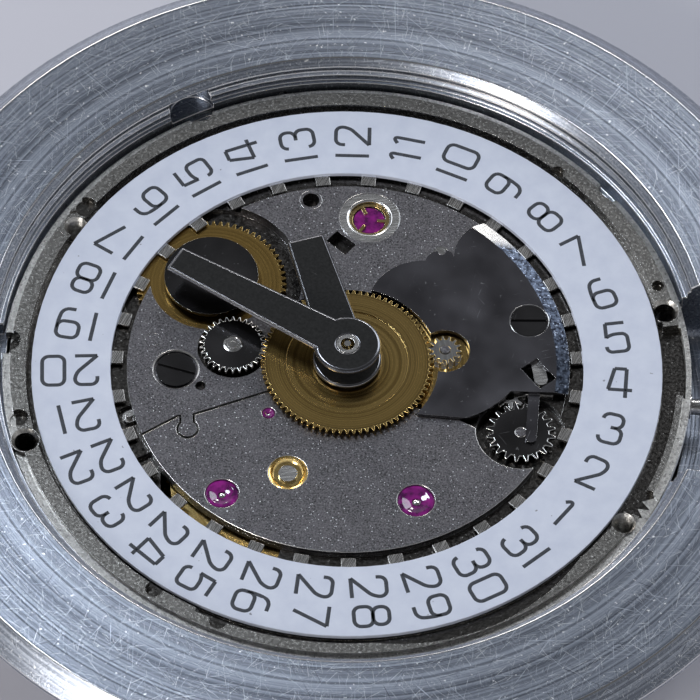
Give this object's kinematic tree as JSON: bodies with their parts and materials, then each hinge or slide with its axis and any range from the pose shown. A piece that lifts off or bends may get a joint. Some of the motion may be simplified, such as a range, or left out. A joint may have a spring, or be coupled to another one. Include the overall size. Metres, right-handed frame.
{
  "type": "mechanical watch movement",
  "caption": "Automatic mechanical watch movement seen from its dial side: date disc, hands, motion work and going train, seated in a slotted round holder ring.",
  "frame": {"origin": "centre axis of the movement at the height of the dial seat, the top of the mainplate's rim", "axes": "+Z out of the dial side, +X towards the winding stem at 3 o'clock, +Y towards 12 o'clock"},
  "size_m": [0.0359, 0.0364, 0.0068],
  "materials": {
    "ring": "turned, bright",
    "plate": "nickel plated, granular",
    "bridge": "nickel plated, brushed",
    "grained_plate": "nickel plated, dark grained",
    "polished_steel": "mirror polished",
    "steel": "machined, bright",
    "dark_steel": "polished, hardened",
    "wheel_brass": "gilt, turned",
    "ruby": "polished synthetic ruby",
    "spring_gold": "bright gilt",
    "date_white": "satin",
    "hand_black": "matte with bright bevel",
    "rotor_metal": "brushed"
  },
  "bodies": {
    "holder_ring": {"casing_ring": "ring"},
    "movement": {"mainplate": "plate", "calendar_plate": "grained_plate", "date_driver_plate": "grained_plate", "setting_cover_plate": "polished_steel", "plate_screws": "dark_steel", "bearing_jewels": "ruby", "barrel_bush": "wheel_brass", "shock_blocks": "steel", "shock_jewels": "ruby", "shock_springs": "spring_gold", "train_bridge": "bridge", "barrel_bridge": "bridge", "balance_cock": "bridge", "pallet_bridge": "bridge", "automatic_bridge": "bridge", "rotor_hub": "steel", "rotor_balls": "steel"},
    "hands": {"cannon_pinion": "steel", "minute_hand": "hand_black"},
    "hour": {"hour_wheel": "wheel_brass", "hour_hand": "hand_black"},
    "minute_wheel": {"minute_wheel": "wheel_brass"},
    "intermediate_date_wheel": {"intermediate_date_wheel": "steel"},
    "date_driver": {"date_driving_wheel": "wheel_brass", "date_driver_disc": "dark_steel"},
    "intermediate_setting_wheel": {"intermediate_setting_wheel": "steel"},
    "setting_wheel": {"setting_wheel": "steel"},
    "date_disc": {"date_disc": "date_white"},
    "date_jumper": {"date_jumper": "steel"},
    "seconds_wheel": {"seconds_wheel": "wheel_brass"},
    "centre_wheel": {"centre_wheel": "wheel_brass"},
    "third_wheel": {"third_wheel": "wheel_brass"},
    "escape_wheel": {"escape_wheel": "steel"},
    "barrel": {"barrel_drum": "wheel_brass", "barrel_cover": "wheel_brass", "mainspring": "steel"},
    "pallet_fork": {"pallet_fork": "steel", "pallet_stones": "ruby"},
    "balance": {"balance_wheel": "wheel_brass", "balance_staff": "steel", "hairspring": "steel"},
    "regulator": {"regulator": "steel"},
    "rotor": {"rotor_plate": "rotor_metal", "rotor_weight": "rotor_metal"},
    "reversing_wheel_1": {"reversing_wheel_1": "wheel_brass"},
    "reversing_wheel_2": {"reversing_wheel_2": "wheel_brass"},
    "winding_pinion": {"winding_pinion": "steel"},
    "stem": {"stem": "steel"},
    "sliding_pinion": {"sliding_pinion": "steel"},
    "setting_lever": {"setting_lever": "steel"},
    "yoke": {"yoke": "steel"},
    "crown_wheel": {"crown_pinion": "steel", "crown_wheel": "steel"},
    "intermediate_winding_wheel": {"intermediate_winding_wheel": "steel"},
    "ratchet": {"barrel_arbor": "steel", "ratchet_wheel": "steel"},
    "reduction_wheel": {"reduction_wheel": "wheel_brass"},
    "reversing_pinion": {"reversing_pinion": "steel"},
    "click": {"click": "steel"}
  },
  "joints": [
    {"name": "movement_lift", "type": "slide", "parent": "holder_ring", "child": "movement", "axis": [0, 0, 1], "range_m": [0, 0.008]},
    {"name": "hand_turn", "type": "hinge", "parent": "movement", "child": "hands", "pos_m": [0, 0, 0], "axis": [0, 0, 1], "continuous": true},
    {"name": "hour_turn", "type": "hinge", "parent": "movement", "child": "hour", "pos_m": [0, 0, 0], "axis": [0, 0, 1], "continuous": true},
    {"name": "minute_wheel_turn", "type": "hinge", "parent": "movement", "child": "minute_wheel", "pos_m": [0.00363, 0.00089, 0], "axis": [0, 0, 1], "continuous": true},
    {"name": "intermediate_date_turn", "type": "hinge", "parent": "movement", "child": "intermediate_date_wheel", "pos_m": [-0.00436, 0.00036, 0], "axis": [0, 0, 1], "continuous": true},
    {"name": "date_driver_turn", "type": "hinge", "parent": "movement", "child": "date_driver", "pos_m": [-0.0055, 0.00347, 0], "axis": [0, 0, 1], "continuous": true},
    {"name": "intermediate_setting_turn", "type": "hinge", "parent": "movement", "child": "intermediate_setting_wheel", "pos_m": [0.00619, -0.0007, 0], "axis": [0, 0, 1], "continuous": true},
    {"name": "setting_wheel_turn", "type": "hinge", "parent": "movement", "child": "setting_wheel", "pos_m": [0.00674, -0.00229, 0], "axis": [0, 0, 1], "continuous": true},
    {"name": "date_disc_turn", "type": "hinge", "parent": "movement", "child": "date_disc", "pos_m": [0, 0, 0], "axis": [0, 0, 1], "continuous": true},
    {"name": "date_jumper_turn", "type": "hinge", "parent": "movement", "child": "date_jumper", "pos_m": [-0.00541, -0.00145, 0], "axis": [0, 0, 1], "range_deg": [0, 3], "stiffness_Nm_per_rad": 0.00005},
    {"name": "seconds_turn", "type": "hinge", "parent": "movement", "child": "seconds_wheel", "pos_m": [0, 0, 0], "axis": [0, 0, 1], "continuous": true},
    {"name": "centre_turn", "type": "hinge", "parent": "movement", "child": "centre_wheel", "pos_m": [0, 0, 0], "axis": [0, 0, 1], "continuous": true},
    {"name": "third_turn", "type": "hinge", "parent": "movement", "child": "third_wheel", "pos_m": [-0.0029, 0.0001, 0], "axis": [0, 0, 1], "continuous": true},
    {"name": "escape_turn", "type": "hinge", "parent": "movement", "child": "escape_wheel", "pos_m": [-0.00143, 0.00248, 0], "axis": [0, 0, 1], "continuous": true},
    {"name": "barrel_turn", "type": "hinge", "parent": "movement", "child": "barrel", "pos_m": [-0.00177, -0.00499, 0], "axis": [0, 0, 1], "continuous": true},
    {"name": "pallet_turn", "type": "hinge", "parent": "movement", "child": "pallet_fork", "pos_m": [-0.00061, 0.00462, 0], "axis": [0, 0, 1], "range_deg": [-4, 4]},
    {"name": "balance_turn", "type": "hinge", "parent": "movement", "child": "balance", "pos_m": [0.00025, 0.00687, 0], "axis": [0, 0, 1], "range_deg": [-270, 270], "stiffness_Nm_per_rad": 0.00000017},
    {"name": "regulator_turn", "type": "hinge", "parent": "movement", "child": "regulator", "pos_m": [0.00025, 0.00687, 0], "axis": [0, 0, 1], "range_deg": [-15, 15]},
    {"name": "rotor_turn", "type": "hinge", "parent": "movement", "child": "rotor", "pos_m": [0, 0, 0], "axis": [0, 0, 1], "continuous": true},
    {"name": "reversing_1_turn", "type": "hinge", "parent": "movement", "child": "reversing_wheel_1", "pos_m": [-0.00357, 0.0013, 0], "axis": [0, 0, 1], "continuous": true},
    {"name": "reversing_2_turn", "type": "hinge", "parent": "movement", "child": "reversing_wheel_2", "pos_m": [-0.0063, -0.00105, 0], "axis": [0, 0, 1], "continuous": true},
    {"name": "stem_turn", "type": "hinge", "parent": "movement", "child": "winding_pinion", "pos_m": [0, 0, -0.00105], "axis": [1, 0, 0], "continuous": true},
    {"name": "stem_pull", "type": "slide", "parent": "winding_pinion", "child": "stem", "axis": [1, 0, 0], "range_m": [0, 0.001]},
    {"name": "sliding_pinion_slide", "type": "slide", "parent": "winding_pinion", "child": "sliding_pinion", "axis": [1, 0, 0], "range_m": [-0.0005, 0]},
    {"name": "setting_lever_turn", "type": "hinge", "parent": "movement", "child": "setting_lever", "pos_m": [0.0067, 0.00257, 0], "axis": [0, 0, 1], "range_deg": [0, 25.1]},
    {"name": "yoke_turn", "type": "hinge", "parent": "movement", "child": "yoke", "pos_m": [0.00575, 0.0036, 0], "axis": [0, 0, 1], "range_deg": [-9.3, 0]},
    {"name": "crown_wheel_turn", "type": "hinge", "parent": "movement", "child": "crown_wheel", "pos_m": [0.00458, 0, 0], "axis": [0, 0, 1], "continuous": true},
    {"name": "intermediate_winding_turn", "type": "hinge", "parent": "movement", "child": "intermediate_winding_wheel", "pos_m": [0.00332, -0.00369, 0], "axis": [0, 0, 1], "continuous": true},
    {"name": "ratchet_turn", "type": "hinge", "parent": "movement", "child": "ratchet", "pos_m": [-0.00177, -0.00499, 0], "axis": [0, 0, 1], "continuous": true},
    {"name": "reduction_turn", "type": "hinge", "parent": "movement", "child": "reduction_wheel", "pos_m": [-0.00515, -0.00304, 0], "axis": [0, 0, 1], "continuous": true},
    {"name": "reversing_pinion_turn", "type": "hinge", "parent": "movement", "child": "reversing_pinion", "pos_m": [-0.0063, -0.00105, 0], "axis": [0, 0, 1], "continuous": true},
    {"name": "click_turn", "type": "hinge", "parent": "movement", "child": "click", "pos_m": [0.00046, -0.00884, 0], "axis": [0, 0, 1], "range_deg": [-12, 0], "stiffness_Nm_per_rad": 0.00005}
  ],
  "couplings": [
    {"joint": "minute_wheel_turn", "follows": "hand_turn", "ratio": -0.47619},
    {"joint": "hour_turn", "follows": "hand_turn", "ratio": 0.083333},
    {"joint": "intermediate_date_turn", "follows": "hand_turn", "ratio": -0.22222},
    {"joint": "date_driver_turn", "follows": "hand_turn", "ratio": 0.041667},
    {"joint": "intermediate_setting_turn", "follows": "hand_turn", "ratio": 2.5},
    {"joint": "setting_wheel_turn", "follows": "hand_turn", "ratio": -1},
    {"joint": "centre_turn", "follows": "seconds_turn", "ratio": 0.016667},
    {"joint": "third_turn", "follows": "seconds_turn", "ratio": -0.13333},
    {"joint": "escape_turn", "follows": "seconds_turn", "ratio": -12},
    {"joint": "barrel_turn", "follows": "seconds_turn", "ratio": -0.0027778},
    {"joint": "reversing_1_turn", "follows": "rotor_turn", "ratio": -1.1111},
    {"joint": "reversing_2_turn", "follows": "rotor_turn", "ratio": 1.1111},
    {"joint": "crown_wheel_turn", "follows": "stem_turn", "ratio": 0.3},
    {"joint": "intermediate_winding_turn", "follows": "stem_turn", "ratio": -0.3},
    {"joint": "ratchet_turn", "follows": "stem_turn", "ratio": 0.17727},
    {"joint": "reduction_turn", "follows": "stem_turn", "ratio": -0.975},
    {"joint": "reversing_pinion_turn", "follows": "stem_turn", "ratio": 3.51},
    {"joint": "sliding_pinion_slide", "follows": "stem_pull", "ratio": -0.5},
    {"joint": "setting_lever_turn", "follows": "stem_pull", "rad_per_m": 437},
    {"joint": "yoke_turn", "follows": "stem_pull", "rad_per_m": -161}
  ]
}
